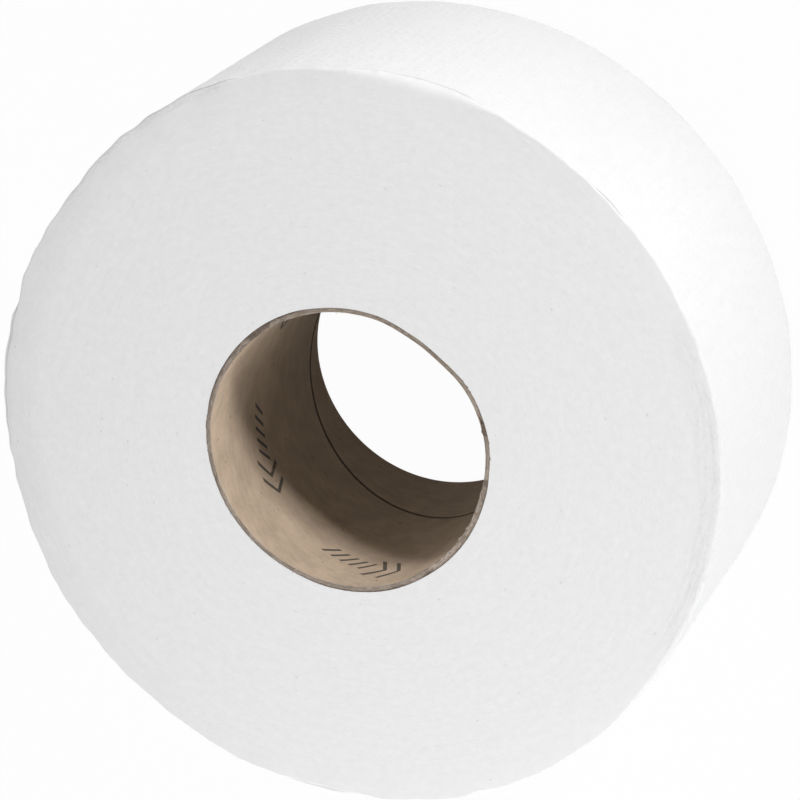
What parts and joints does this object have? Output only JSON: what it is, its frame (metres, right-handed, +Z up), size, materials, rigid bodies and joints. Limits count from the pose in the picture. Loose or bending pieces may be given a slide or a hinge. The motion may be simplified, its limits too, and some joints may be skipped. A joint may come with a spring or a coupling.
{
  "type": "toilet paper roll",
  "caption": "Large commercial roll of white toilet tissue wound on a brown spiral-wound board core with an open bore, standing on its cut end.",
  "frame": {"origin": "on the axis of the core's bore, in the plane of the cut end that the roll stands on", "axes": "+Z up along the bore axis, towards the cut face that the picture shows; +X and +Y along the short and the long diameter of the slightly oval roll"},
  "size_m": [0.2268, 0.2308, 0.091],
  "materials": {
    "core_board": "matt kraft board with fine fibres",
    "tissue": "soft matt white tissue"
  },
  "bodies": {
    "root": {"core": "core_board", "tissue_web": "tissue"}
  },
  "joints": []
}
